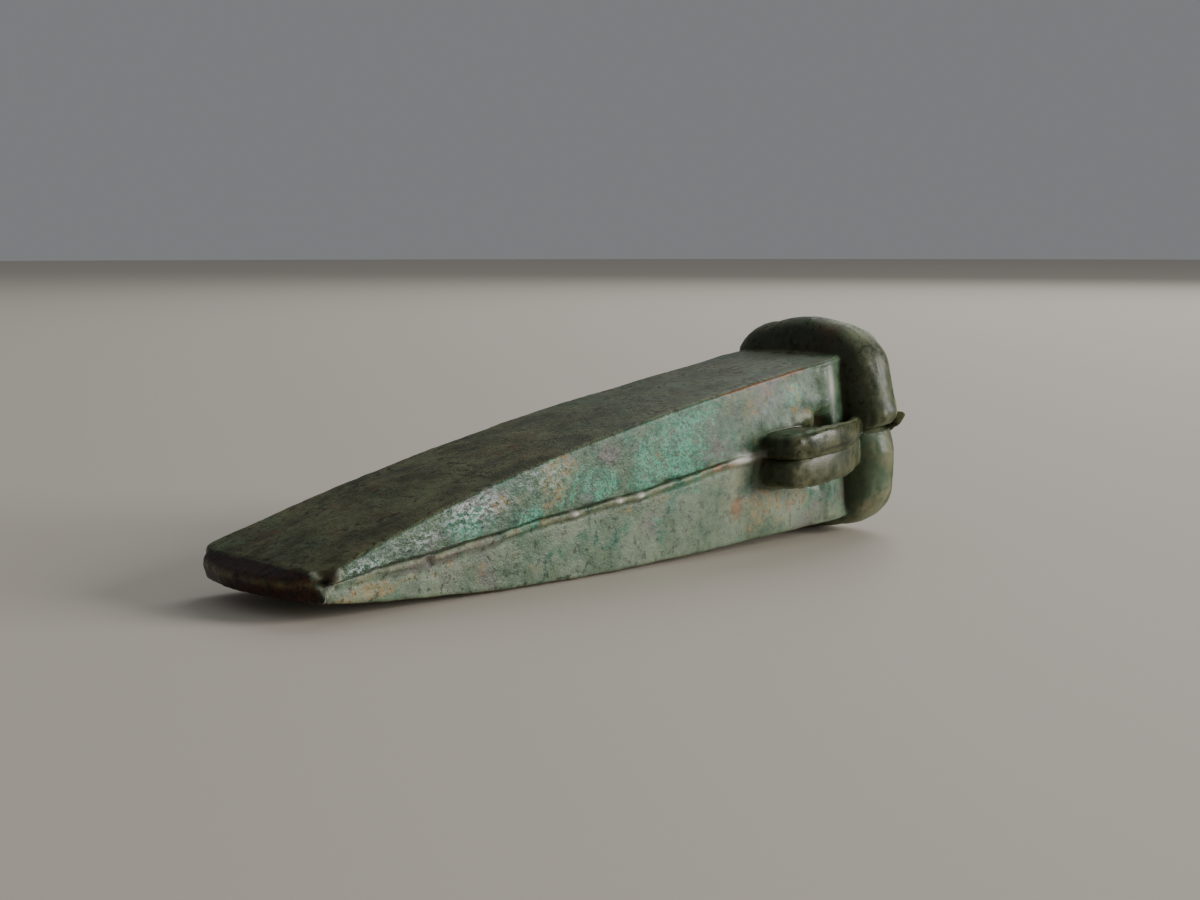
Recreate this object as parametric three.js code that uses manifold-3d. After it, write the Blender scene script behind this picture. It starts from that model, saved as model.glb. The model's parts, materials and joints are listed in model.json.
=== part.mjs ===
// A socketed bronze axe head of the straight, square-mouthed Armorican kind, cast in one piece
// in a two-piece mould. It lies on one wide face, held up by its collar at the mouth and by the
// blunt cutting edge at the other end, with the side loop facing -Y.
// Units are millimetres and +Z is up. The origin is on the floor, under the middle of the axe.
//
// The axe is made in its own frame first: x runs from the cutting edge to the mouth, y crosses
// from the loop side to the far side, and z is 0 on the seam where the two mould halves met.
import * as THREE from 'three';
import { mergeVertices } from 'three/addons/utils/BufferGeometryUtils.js';
import Module from 'manifold-3d';

// The whole axe
const LENGTH = 128.5;
const MOUTH_WIDTH = 23.4; // between the narrow sides, at the foot of the collar
const MOUTH_THICKNESS = 29; // between the wide faces, at the foot of the collar
const CORNER_RADIUS = 1.1; // of the body's four long edges
const FACE_CROWN = 0.35; // how far the wide faces bulge in the middle

// The wide faces fall in one long curve from the collar to the edge, steeper towards the edge
const SLOPE_AT_MOUTH = 0.045;
const SLOPE_AT_EDGE = 0.22;
const CURVE_HANDLE_AT_MOUTH = 45;
const CURVE_HANDLE_AT_EDGE = 38;

// The blade was cast blunt and never sharpened: a rounded nose stands ahead of its lips
const BLADE_WIDTH = 33;
const EDGE_THICKNESS = 4.6;
const NOSE_LENGTH = 3.5;
const EDGE_CRESCENT = 2.8; // how far the middle of the edge stands ahead of its corners
const FLARE = 1.7; // the narrow sides spread by this much towards the edge
const FLARE_LENGTH = 52;
const BLADE_CORNER_RADIUS = 2.6;
const CHIP_WIDTH = 3.4; // the blade's upper corner on the loop side is knocked off
const CHIP_LENGTH = 2.8;

// The collar is a fat half-round band with rounded corners, round the mouth
const COLLAR_HEIGHT = 10.6;
const COLLAR_PROUD = 4.8;
const COLLAR_PROUD_BELOW = 2.9; // it is slighter on the face that the axe lies on
const COLLAR_CORNER_RADIUS = 9.5;
const COLLAR_CROWN = 1;
const RIM_ANGLE = 32; // degrees short of the full half-round at which it is flat for the rim
const SWELL_LENGTH = 7.5; // the narrow sides swell a little just before the collar
const SWELL_PROUD = 0.6;

// The upper mould half slipped towards the loop, and a thin flash squeezed out along the seam
const MOULD_SLIP = 0.7;
const SEAM_RISE = 1.2; // the seam is this much above the middle at the collar
const FLASH_PROUD = 0.5;
const SEAM_BAND = 2.6; // the seam's relief keeps within this distance of it
const COLLAR_NOTCH = 1.9; // the collar's upper lobe overhangs its lower one by this much
const SPUR_HEIGHT = 5;
const SPUR_PROUD = 3.2;
const SPUR_THICKNESS = 1.2;

// The socket is deep. Its wide walls follow the outside, and its narrow ones taper inwards
const WALL = 2.7;
const SOCKET_DEPTH = 84;
const SOCKET_TAPER = 1.2; // it is this much narrower on each side at its floor
const SOCKET_CORNER_RADIUS = 2;

// The side loop springs steeply from the body and slopes down into the collar
const LOOP_LENGTH = 24; // from its root on the body to the foot of the collar
const LOOP_PROUD = 7.4;
const LOOP_HEIGHT = 10.4;
const LOOP_CREST_BACK = 12; // from the foot of the collar back to the loop's highest point
const LOOP_EDGE_ROUND = 1.9;
const EYE_LENGTH = 11.4;
const EYE_GAP = 4.8; // from the body's side to the inside of the loop
const EYE_NARROW_GAP = 1.4; // at the collar, where the loop comes down
const EYE_HOLLOW = 2.6; // its hollow in the body's side reaches this far above and below the loop
const EYE_CORNER_RADIUS = 1;
const EYE_TO_COLLAR = 0.4;
const ROOT_SWELL_LENGTH = 14; // the metal swells above the loop's root on the body
const ROOT_SWELL_HEIGHT = 10;
const ROOT_SWELL_PROUD = 1.8;

// How finely the curves are cut
const CORNER_STEPS = 5;
const FACE_STEPS = 4;
const NOSE_RINGS = 5;
const BODY_RINGS = 18;
const SWELL_RINGS = 4;
const COLLAR_RINGS = 9;
const SOCKET_RINGS = 12;
const ARCH_STEPS = 10;

const collarFoot = LENGTH - COLLAR_HEIGHT;
const bronze = new THREE.MeshStandardMaterial({ color: 0x5c6b55, roughness: 0.62, metalness: 0.35 });
const wasm = await Module();
wasm.setup();

// A closed three.js geometry as a solid that can be joined and cut.
function solidOf(geometry) {
  const bare = geometry.index ? geometry.toNonIndexed() : geometry.clone();
  bare.deleteAttribute('normal');
  bare.deleteAttribute('uv');
  const merged = mergeVertices(bare, 1e-4);
  return new wasm.Manifold(new wasm.Mesh({
    numProp: 3,
    vertProperties: merged.attributes.position.array,
    triVerts: new Uint32Array(merged.index.array),
  }));
}

function geometryOf(solid) {
  const mesh = solid.getMesh();
  const geometry = new THREE.BufferGeometry();
  geometry.setAttribute('position', new THREE.BufferAttribute(mesh.vertProperties, 3));
  geometry.setIndex(new THREE.BufferAttribute(mesh.triVerts, 1));
  return geometry;
}

// A closed skin over rings of points that run from low x to high x, each ring anticlockwise
// when it is seen from the mouth. Both ends are capped with a fan from the ring's middle.
function loft(rings) {
  const around = rings[0].length;
  const positions = rings.flat().flatMap((p) => [p.x, p.y, p.z]);
  const index = [];
  for (let i = 0; i + 1 < rings.length; i++) {
    for (let j = 0; j < around; j++) {
      const a = i * around + j;
      const b = i * around + (j + 1) % around;
      index.push(a, b, a + around, b, b + around, a + around);
    }
  }
  const addCap = (ring, first, facesMouth) => {
    const middle = positions.length / 3;
    const centre = ring.reduce((sum, p) => sum.add(p), new THREE.Vector3()).divideScalar(around);
    positions.push(centre.x, centre.y, centre.z);
    for (let j = 0; j < around; j++) {
      const pair = [first + j, first + (j + 1) % around];
      index.push(middle, ...(facesMouth ? pair : pair.reverse()));
    }
  };
  addCap(rings[0], 0, false);
  addCap(rings.at(-1), (rings.length - 1) * around, true);
  const geometry = new THREE.BufferGeometry();
  geometry.setAttribute('position', new THREE.Float32BufferAttribute(positions, 3));
  geometry.setIndex(index);
  return geometry;
}

// Half the body's thickness along its length: one cubic curve from the edge's lips to the collar.
const facePoints = new THREE.CubicBezierCurve(
  new THREE.Vector2(NOSE_LENGTH, EDGE_THICKNESS / 2),
  new THREE.Vector2(
    NOSE_LENGTH + CURVE_HANDLE_AT_EDGE,
    EDGE_THICKNESS / 2 + SLOPE_AT_EDGE * CURVE_HANDLE_AT_EDGE,
  ),
  new THREE.Vector2(
    collarFoot - CURVE_HANDLE_AT_MOUTH,
    MOUTH_THICKNESS / 2 - SLOPE_AT_MOUTH * CURVE_HANDLE_AT_MOUTH,
  ),
  new THREE.Vector2(collarFoot, MOUTH_THICKNESS / 2),
).getPoints(200);

function halfThickness(x) {
  const next = facePoints.findIndex((p) => p.x > x);
  if (next < 0) return MOUTH_THICKNESS / 2;
  if (next === 0) return EDGE_THICKNESS / 2;
  const [a, b] = [facePoints[next - 1], facePoints[next]];
  return THREE.MathUtils.lerp(a.y, b.y, (x - a.x) / (b.x - a.x));
}

// Half the body's width along its length: a straight taper, and a flare towards the edge.
function halfWidth(x) {
  const along = Math.min(x / collarFoot, 1);
  const straight = THREE.MathUtils.lerp(BLADE_WIDTH / 2 - FLARE, MOUTH_WIDTH / 2, along);
  return straight + FLARE * Math.max(0, 1 - x / FLARE_LENGTH) ** 2;
}

// The relief of the seam, from the upper end of its band to the lower: each pair is a height as
// a share of the band, and how far out the surface stands there.
function seamRelief(flash, notch) {
  return [
    [1, 0], [0.5, -0.1 * notch], [0.17, -0.45 * notch], [-0.04, -0.85 * notch],
    [-0.27, flash - notch], [-0.5, -0.6 * notch], [-1, 0],
  ];
}

// One cross-section, anticlockwise as seen from the mouth, from the far side's seam. Its four
// sides are crowned, its corners round, and what is above the seam is slipped towards the loop.
function section({ x, half, up, down, radius, crown = 0, flash = 0, notch = 0, slip = 0, lean = 0 }) {
  const middle = (up - down) / 2;
  const seam = SEAM_RISE * x / LENGTH;
  const flatY = half - Math.min(radius, half * 0.9);
  const flatZ = (up + down) / 2 - Math.min(radius, up * 0.9);
  const [roundY, roundZ] = [half - flatY, (up + down) / 2 - flatZ];
  const band = Math.min(SEAM_BAND, (flatZ - Math.abs(seam - middle)) * 0.85);
  const crowned = (share) => crown * (1 - share * share);
  const points = [];
  const addCorner = (y, z, quarter) => {
    for (let k = 0; k <= CORNER_STEPS; k++) {
      const angle = (quarter + k / CORNER_STEPS) * Math.PI / 2;
      points.push([y + roundY * Math.cos(angle), middle + z + roundZ * Math.sin(angle)]);
    }
  };
  const addFace = (side) => {
    for (let k = 1; k < FACE_STEPS; k++) {
      const share = 1 - 2 * k / FACE_STEPS;
      points.push([side * share * flatY, middle + side * ((up + down) / 2 + crowned(share))]);
    }
  };
  const addSide = (side, relief) => {
    for (const [share, proud] of relief) {
      points.push([side * (half + crowned(share * band / flatZ) + proud), seam + share * band]);
    }
  };
  addSide(1, seamRelief(flash / 2, notch / 3).reverse());
  addCorner(flatY, flatZ, 0);
  addFace(1);
  addCorner(-flatY, flatZ, 1);
  addSide(-1, seamRelief(flash, notch));
  addCorner(-flatY, -flatZ, 2);
  addFace(-1);
  addCorner(flatY, -flatZ, 3);
  return points.map(([y, z]) => new THREE.Vector3(
    x + lean * (y / half) ** 2,
    y - (z > seam ? slip : 0),
    z,
  ));
}

// The blade's nose and the body. The nose falls from its upper lip to a blunt front, rounds off
// below, and stands ahead in its middle; the body's narrow sides swell just before the collar.
function bodySection(x) {
  const nose = Math.max(0, 1 - x / NOSE_LENGTH);
  const corner = Math.max(0, 1 - Math.max(0, x - NOSE_LENGTH) / BLADE_CORNER_RADIUS);
  const swell = Math.sin(Math.PI * Math.max(0, 1 - (collarFoot - x) / SWELL_LENGTH));
  return section({
    x,
    half: halfWidth(x) - BLADE_CORNER_RADIUS * (1 - Math.sqrt(1 - corner * corner)) + SWELL_PROUD * swell,
    up: halfThickness(x) * (1 - 0.55 * nose),
    down: halfThickness(x) * Math.sqrt(1 - nose ** 4),
    radius: CORNER_RADIUS,
    crown: FACE_CROWN * Math.min(1, x / FLARE_LENGTH),
    flash: FLASH_PROUD * (1 - nose),
    slip: MOULD_SLIP,
    lean: EDGE_CRESCENT * nose,
  });
}

// The collar: the body's end section, carried out round a half circle that stops at the rim.
function collarSection(turn) {
  const rim = THREE.MathUtils.degToRad(RIM_ANGLE);
  const angle = turn * (Math.PI - rim);
  const reach = COLLAR_HEIGHT / (1 + Math.cos(rim));
  const out = Math.sin(angle);
  return section({
    x: collarFoot + reach * (1 - Math.cos(angle)),
    half: MOUTH_WIDTH / 2 + COLLAR_PROUD * out,
    up: MOUTH_THICKNESS / 2 + COLLAR_PROUD * out,
    down: MOUTH_THICKNESS / 2 + COLLAR_PROUD_BELOW * out,
    radius: CORNER_RADIUS + (COLLAR_CORNER_RADIUS - CORNER_RADIUS) * out ** 0.8,
    crown: FACE_CROWN + (COLLAR_CROWN - FACE_CROWN) * out,
    flash: FLASH_PROUD,
    notch: COLLAR_NOTCH * out,
    slip: MOULD_SLIP,
  });
}

function outside() {
  const bladeEnd = collarFoot - SWELL_LENGTH;
  const stations = [];
  for (let k = 1; k <= NOSE_RINGS; k++) {
    stations.push(NOSE_LENGTH * (1 - Math.cos(k / NOSE_RINGS * Math.PI / 2)));
  }
  for (let k = 1; k <= CORNER_STEPS; k++) stations.push(NOSE_LENGTH + BLADE_CORNER_RADIUS * k / CORNER_STEPS);
  const cornerEnd = NOSE_LENGTH + BLADE_CORNER_RADIUS;
  for (let k = 1; k <= BODY_RINGS; k++) stations.push(cornerEnd + (bladeEnd - cornerEnd) * (k / BODY_RINGS) ** 1.3);
  for (let k = 1; k < SWELL_RINGS; k++) stations.push(bladeEnd + SWELL_LENGTH * k / SWELL_RINGS);
  const rings = stations.map(bodySection);
  for (let k = 0; k <= COLLAR_RINGS; k++) rings.push(collarSection(k / COLLAR_RINGS));
  return solidOf(loft(rings));
}

// The hollow that the haft goes into, from its rounded floor to just past the mouth.
function socket() {
  const floor = LENGTH - SOCKET_DEPTH;
  const dome = SOCKET_CORNER_RADIUS;
  const inner = (x, share) => section({
    x,
    half: (MOUTH_WIDTH / 2 - WALL - SOCKET_TAPER * Math.min(1, (LENGTH - x) / SOCKET_DEPTH)) * share,
    up: (halfThickness(x) - WALL) * share,
    down: (halfThickness(x) - WALL) * share,
    radius: SOCKET_CORNER_RADIUS,
  });
  const rings = [];
  for (const angle of [0.2, 0.5, 0.8]) {
    const turn = angle * Math.PI / 2;
    rings.push(inner(floor + dome * (1 - Math.cos(turn)), 0.5 + 0.5 * Math.sin(turn)));
  }
  for (let k = 0; k <= SOCKET_RINGS; k++) {
    rings.push(inner(floor + dome + (LENGTH - floor - dome + 1) * k / SOCKET_RINGS, 1));
  }
  return solidOf(loft(rings));
}

// One mould half's share of the loop: its outline seen from above, drawn up between two heights.
function loopLobe(low, high, slip) {
  const root = collarFoot - LOOP_LENGTH;
  const crest = collarFoot - LOOP_CREST_BACK;
  const side = -halfWidth(crest) - slip;
  const top = side - LOOP_PROUD;
  const outline = new THREE.Shape();
  outline.moveTo(collarFoot + COLLAR_HEIGHT / 2, 0);
  outline.lineTo(root, 0);
  outline.lineTo(root, side);
  outline.bezierCurveTo(
    root + LOOP_PROUD * 0.1, side - LOOP_PROUD * 0.6,
    root + LOOP_PROUD * 0.4, top,
    crest, top,
  );
  outline.bezierCurveTo(
    crest + LOOP_CREST_BACK * 0.45, top,
    collarFoot - LOOP_CREST_BACK * 0.25, side - LOOP_PROUD * 0.75,
    collarFoot + COLLAR_HEIGHT * 0.2, side - LOOP_PROUD * 0.4,
  );
  const geometry = new THREE.ExtrudeGeometry(outline, {
    depth: high - low - 2 * LOOP_EDGE_ROUND,
    curveSegments: ARCH_STEPS,
    bevelThickness: LOOP_EDGE_ROUND,
    bevelSize: LOOP_EDGE_ROUND,
    bevelOffset: -LOOP_EDGE_ROUND,
    bevelSegments: 4,
  });
  return solidOf(geometry.translate(0, 0, low + LOOP_EDGE_ROUND));
}

// The opening between the loop and the body, which also hollows the body's side a little.
function eye() {
  const end = collarFoot - EYE_TO_COLLAR;
  const start = end - EYE_LENGTH;
  const inner = -halfWidth((start + end) / 2);
  const outer = inner - EYE_GAP;
  const r = EYE_CORNER_RADIUS;
  const outline = new THREE.Shape();
  outline.moveTo(start, inner);
  outline.lineTo(start, outer + r);
  outline.quadraticCurveTo(start, outer, start + r, outer);
  outline.lineTo((start + end) / 2, outer);
  outline.lineTo(end, inner - EYE_NARROW_GAP);
  outline.lineTo(end, inner);
  const cut = new THREE.ExtrudeGeometry(outline, {
    depth: LOOP_HEIGHT + 2 * EYE_HOLLOW,
    bevelEnabled: false,
    curveSegments: 3,
  });
  return solidOf(cut.translate(0, 0, -LOOP_HEIGHT / 2 - EYE_HOLLOW));
}

function rootSwelling() {
  const x = collarFoot - LOOP_LENGTH + ROOT_SWELL_LENGTH * 0.6;
  const ball = new THREE.SphereGeometry(1, 16, 10);
  ball.scale(ROOT_SWELL_LENGTH / 2, ROOT_SWELL_PROUD, ROOT_SWELL_HEIGHT / 2);
  return solidOf(ball.translate(x, -halfWidth(x) - MOULD_SLIP, LOOP_HEIGHT / 2));
}

function loop() {
  const lap = FLASH_PROUD; // the lobes share this much metal at the seam
  return loopLobe(-lap, LOOP_HEIGHT / 2, MOULD_SLIP)
    .add(loopLobe(-LOOP_HEIGHT / 2, lap, 0))
    .add(rootSwelling());
}

// A leaf of flash that stands out of the collar's loop side at the rim.
function spur() {
  const side = -MOUTH_WIDTH / 2 - COLLAR_PROUD * Math.sin(THREE.MathUtils.degToRad(RIM_ANGLE));
  const leaf = new THREE.Shape();
  leaf.moveTo(side + COLLAR_NOTCH, -SPUR_HEIGHT / 4);
  leaf.lineTo(side + COLLAR_NOTCH, SPUR_HEIGHT / 2);
  leaf.lineTo(side - SPUR_PROUD / 2, SPUR_HEIGHT * 0.55);
  leaf.lineTo(side - SPUR_PROUD, SPUR_HEIGHT);
  leaf.lineTo(side - SPUR_PROUD, SPUR_HEIGHT * 0.4);
  leaf.lineTo(side - SPUR_PROUD / 2, -SPUR_HEIGHT / 8);
  const sheet = new THREE.ExtrudeGeometry(leaf, { depth: SPUR_THICKNESS, bevelEnabled: false });
  // The leaf is drawn in y and z, and its thickness runs along x.
  const upright = new THREE.Matrix4().makeBasis(
    new THREE.Vector3(0, 1, 0), new THREE.Vector3(0, 0, 1), new THREE.Vector3(1, 0, 0),
  );
  sheet.applyMatrix4(upright);
  return solidOf(sheet.translate(LENGTH - SPUR_THICKNESS - FLASH_PROUD, 0, 0));
}

// Cuts off the blade's upper corner on the loop side, along one slanting plane.
function chipped(solid) {
  const side = -BLADE_WIDTH / 2;
  const plane = new THREE.Plane().setFromCoplanarPoints(
    new THREE.Vector3(NOSE_LENGTH, side + CHIP_WIDTH, EDGE_THICKNESS / 2),
    new THREE.Vector3(NOSE_LENGTH, side, -EDGE_THICKNESS / 2),
    new THREE.Vector3(NOSE_LENGTH + CHIP_LENGTH, side, EDGE_THICKNESS / 2),
  );
  if (plane.normal.x < 0) plane.negate();
  return solid.trimByPlane(plane.normal.toArray(), -plane.constant);
}

// Leans the finished axe until its lowest points on both sides of its middle are level, as it
// lies on a table, and sets the middle of its underside on the origin.
function lay(mesh) {
  const lowest = (lean) => {
    const low = [-1, 1].map(() => new THREE.Vector3(0, 0, Infinity));
    const turned = mesh.geometry.clone().rotateY(-lean).getAttribute('position');
    const p = new THREE.Vector3();
    for (let i = 0; i < turned.count; i++) {
      p.fromBufferAttribute(turned, i);
      const end = p.x > LENGTH / 2 ? 1 : 0;
      if (p.z < low[end].z) low[end].copy(p);
    }
    return low;
  };
  let lean = 0;
  for (let k = 0; k < 12; k++) {
    const [blade, mouth] = lowest(lean);
    lean += Math.atan2(blade.z - mouth.z, mouth.x - blade.x);
  }
  mesh.rotation.y = -lean;
  const box = new THREE.Box3().setFromObject(mesh, true);
  mesh.position.set(-(box.min.x + box.max.x) / 2, -(box.min.y + box.max.y) / 2, -box.min.z);
  return mesh;
}

const solid = chipped(outside()).add(loop()).add(spur()).subtract(eye()).subtract(socket());
const axeHead = lay(new THREE.Mesh(geometryOf(solid), bronze));
axeHead.name = 'axe_head';

const part = new THREE.Group();
part.add(axeHead);
export default part;
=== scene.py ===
import json
import math

import bmesh
import bpy
import numpy as np
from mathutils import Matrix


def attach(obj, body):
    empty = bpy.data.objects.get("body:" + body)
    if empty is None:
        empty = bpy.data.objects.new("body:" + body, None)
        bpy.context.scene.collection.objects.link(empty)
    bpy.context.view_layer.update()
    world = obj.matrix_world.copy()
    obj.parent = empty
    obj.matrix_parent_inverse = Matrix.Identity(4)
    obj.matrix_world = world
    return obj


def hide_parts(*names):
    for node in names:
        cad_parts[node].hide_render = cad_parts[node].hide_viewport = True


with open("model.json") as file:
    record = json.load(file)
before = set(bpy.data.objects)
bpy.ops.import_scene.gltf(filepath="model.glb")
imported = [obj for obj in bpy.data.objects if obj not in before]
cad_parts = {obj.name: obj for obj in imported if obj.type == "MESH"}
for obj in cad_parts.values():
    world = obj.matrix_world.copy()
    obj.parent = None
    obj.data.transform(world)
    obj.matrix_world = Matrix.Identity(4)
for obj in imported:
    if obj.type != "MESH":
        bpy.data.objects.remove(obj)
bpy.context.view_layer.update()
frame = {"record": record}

# The casting. The axe head is one pour of bronze, in a mould of two halves that met on the
# middle of the narrow sides, round a clay core that left the socket. Sizes are millimetres in
# the axe's own frame: x from cutting edge to mouth, y away from the loop, z up from the seam.
LENGTH = 128.5
MOUTH_WIDTH = 23.4
MOUTH_THICKNESS = 29.0
CORNER_RADIUS = 0.7
FACE_CROWN = 0.35
BLADE_WIDTH = 33.0
EDGE_THICKNESS = 4.6
EDGE_SLOPE, EDGE_REACH = 0.22, 38.0
MOUTH_SLOPE, MOUTH_REACH = 0.045, 45.0
NOSE_LENGTH = 3.5
NOSE_LIP_SHARE = 0.42
EDGE_CRESCENT = 2.8
FLARE = 1.7
FLARE_LENGTH = 52.0
BLADE_CORNER_RADIUS = 2.6
COLLAR_HEIGHT = 10.6
COLLAR_PROUD = 4.75
COLLAR_PROUD_BELOW = 2.9
COLLAR_CORNER_RADIUS = 9.5
COLLAR_CROWN = 1.0
COLLAR_FILLET = 0.8
COLLAR_NOTCH = 1.9
RIM_ANGLE = math.radians(32)
FOOT = LENGTH - COLLAR_HEIGHT
SWELL_LENGTH = 12.0
SWELL_PROUD = 0.7
ROOT_PROUD = 1.9
ROOT_HOLLOW = 2.1
UPRIGHT_PROUD = 0.45
MOULD_SLIP = 0.7
FLASH_PROUD = 0.5
CLEFT_DEPTH = 0.42
# Knobs and nicks of the flash: where each is, how long, and how far it stands out.
KNOBS = [(51.6, 0.9, 1.1), (61.7, 0.8, 0.8), (66.2, 1.0, 1.0), (22.4, 0.7, -1.2), (12.5, 1.0, -0.8)]
LOOP_KNOB = 92.0
WALL = 2.7
SOCKET_DEPTH = 84.0
SOCKET_TAPER = 1.2
SOCKET_CORNER_RADIUS = 2.0
SOCKET_FLARE = 0.5
SEAM_BAND = 2.4
SEAM_ROWS = np.array([SEAM_BAND, 1.8, 1.3, 0.9, 0.6, 0.4, 0.25, 0.12, 0.02, -0.08, -0.18, -0.3,
                      -0.45, -0.62, -0.8, -1.0, -1.25, -1.55, -1.95, -SEAM_BAND])
SIDE_ROWS = 16
CORNER_ROWS = 9
FACE_ROWS = 44
NOSE_RINGS = 16
PLAN_RINGS = 7
BODY_RINGS = 252
COLLAR_RINGS = 36
SOCKET_RINGS = 44
DOME_RINGS = 5
MERGE_DISTANCE = 1e-4


def ease(low, high, value):
    """Rises smoothly from 0 at low to 1 at high: 3t^2 - 2t^3 of the share t between them. Where
    low is above high, it falls instead."""
    t = np.clip((value - low) / (high - low), 0, 1)
    return t * t * (3 - 2 * t)


def bell(value, width):
    """A smooth hump of height 1 round 0: e to the minus square of value over width."""
    return np.exp(-((value / width) ** 2))


def half_thickness(x):
    """Half the body's thickness: a cubic curve from the edge's lip to the collar, steeper at
    the edge, read at x from a fine row of the curve's points."""
    t = np.linspace(0, 1, 400)
    lip, mouth = EDGE_THICKNESS / 2, MOUTH_THICKNESS / 2
    knots_x = np.array([NOSE_LENGTH, NOSE_LENGTH + EDGE_REACH, FOOT - MOUTH_REACH, FOOT])
    knots_z = np.array([lip, lip + EDGE_SLOPE * EDGE_REACH, mouth - MOUTH_SLOPE * MOUTH_REACH,
                        mouth])
    weights = np.stack([(1 - t) ** 3, 3 * t * (1 - t) ** 2, 3 * t * t * (1 - t), t ** 3])
    return np.interp(x, knots_x @ weights, knots_z @ weights)


def half_width(x):
    """Half the body's width: a straight taper to the mouth, and a flare that dies away with
    the square of the distance from the edge."""
    along = np.minimum(x / FOOT, 1)
    straight = (BLADE_WIDTH / 2 - FLARE) * (1 - along) + MOUTH_WIDTH / 2 * along
    return straight + FLARE * np.maximum(0, 1 - x / FLARE_LENGTH) ** 2


def seam_height(x):
    """The seam's height: a straight line, a long hump before the loop, and a hand-cut waver."""
    waver = 0.10 * np.sin(x / 6.1) + 0.06 * np.sin(x / 2.3 + 1)
    return 0.7 + 0.35 * x / LENGTH + 0.5 * bell(x - 90, 15) + waver


def seam_relief(above, x, side, notch):
    """How far a side stands out near the seam, by the height above it: a sharp cleft at the
    seam, the flash below it as a low ridge that comes and goes along the axe, with knobs and
    nicks, a shallow groove under the flash, a longer knob at the loop's root, and on the collar
    a wide notch between its two lobes, which swell beside it. The far side has it fainter."""
    fat = 1 + 0.5 * bell(x - 26, 14)
    come_and_go = (0.55 + 0.25 * np.sin(x / 5.3) * np.sin(x / 13.7 + 2) + 0.15 * np.sin(x / 1.7)
                   + 0.12 * np.sin(x / 0.63))
    knobs = sum(proud * bell(x - place, length) for place, length, proud in KNOBS)
    crest = np.exp(-np.abs((above + 0.7 * fat) / (0.5 * fat)) ** 3)
    ridge = FLASH_PROUD * (come_and_go + knobs) * crest
    ridge = ridge + 0.55 * bell(x - LOOP_KNOB, 2.8) * bell(above + 0.3, 0.8)
    cleft = CLEFT_DEPTH * bell(above + 0.02, 0.14) + 0.1 * bell(above + 1.45 * fat, 0.2)
    gap = notch * np.exp(-np.abs((above + 0.3) / 1.0) ** 1.6)
    bulb = 0.35 * notch * (bell(above - 2.6, 1.7) - bell(above + 2.2, 1.5))
    return np.where(side < 0, ridge - cleft - gap + bulb, 0.5 * (ridge - cleft) - 0.4 * gap)


def root_swell(x, z):
    """The swollen root of the loop and the hollow beside it, on the loop's side of the body:
    an elliptical hump cut off steeply towards the collar, and more gently above the loop, a
    shallow rectangular dip, and a faint upright ridge just before the collar."""
    open_above = ease(5.6, 8.0, z)
    end, fall = FOOT - 7.8 + 2.6 * open_above, 3.0 + 4.5 * open_above
    hump = ROOT_PROUD * ease(FOOT - 27, FOOT - 13, x) * (1 - ease(0, 1, (x - end + fall) / fall))
    hump = hump * bell(z - 5.4, 3.4) * ease(2.6, 3.8, z)
    dip = ROOT_HOLLOW * ease(FOOT - 9.6, FOOT - 8.8, x) * ease(FOOT - 3.2, FOOT - 6.0, x)
    upright = UPRIGHT_PROUD * bell(x - FOOT + 4.9, 1.8)
    return hump - dip * ease(-6.3, -5.4, z) * ease(6.1, 5.1, z) + upright


def rings(x, half, up, down, radius, crown, seamed, notch, lean):
    """The cross-sections at each x, all with the same columns of points: a rectangle with
    round corners and crowned sides. It starts at the top of the loop's side and runs down it,
    under the axe, up the far side and back over the top. Columns crowd together at the seam,
    and all that is above the seam is slipped towards the loop."""
    x, half, up, down, radius, crown, seamed, notch, lean = (
        np.asarray(part, float)[:, None]
        for part in (x, half, up, down, radius, crown, seamed, notch, lean))
    middle, thick = (up - down) / 2, (up + down) / 2
    round_y, round_z = np.minimum(radius, half * 0.9), np.minimum(radius, thick * 0.9)
    flat_y, flat_z = half - round_y, thick - round_z
    seam = middle + np.clip(seam_height(x) - middle, -flat_z / 2, flat_z / 2)
    band = np.minimum(1, (flat_z - np.abs(seam - middle)) * 0.85 / SEAM_BAND)
    even = np.linspace(0, 1, SIDE_ROWS)
    height = np.concatenate([
        (middle + flat_z) * (1 - even) + (seam + SEAM_BAND * band) * even,
        seam + band * SEAM_ROWS[1:-1],
        (seam - SEAM_BAND * band) * (1 - even) + (middle - flat_z) * even], 1)
    share = (height - middle) / np.maximum(flat_z, 1e-6)
    bulge = crown * (1 - np.minimum(1, share ** 2))
    fading = seamed * band ** 2
    near = (half + bulge + fading * seam_relief(height - seam, x, -1, notch)
            + seamed * root_swell(x, height))
    far = half + bulge + fading * seam_relief(height - seam, x, 1, notch)
    turn = np.linspace(0, math.pi / 2, CORNER_ROWS + 2)[1:-1]
    across = np.linspace(-1, 1, FACE_ROWS)
    face = thick + crown * (1 - across ** 2)
    y = np.concatenate([
        -near, -flat_y - round_y * np.cos(turn), flat_y * across, flat_y + round_y * np.sin(turn),
        far[:, ::-1], flat_y + round_y * np.cos(turn), -flat_y * across,
        -flat_y - round_y * np.sin(turn)], 1)
    z = np.concatenate([
        height, middle - flat_z - round_z * np.sin(turn), middle - face,
        middle - flat_z - round_z * np.cos(turn), height[:, ::-1],
        middle + flat_z + round_z * np.sin(turn), middle + face,
        middle + flat_z + round_z * np.cos(turn)], 1)
    slip = MOULD_SLIP * seamed * np.minimum(1, band) * ease(-0.05, 0.22, z - seam)
    return np.stack([x + lean * (y / np.maximum(half, 1e-6)) ** 2, y - slip, z], 2)


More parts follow.
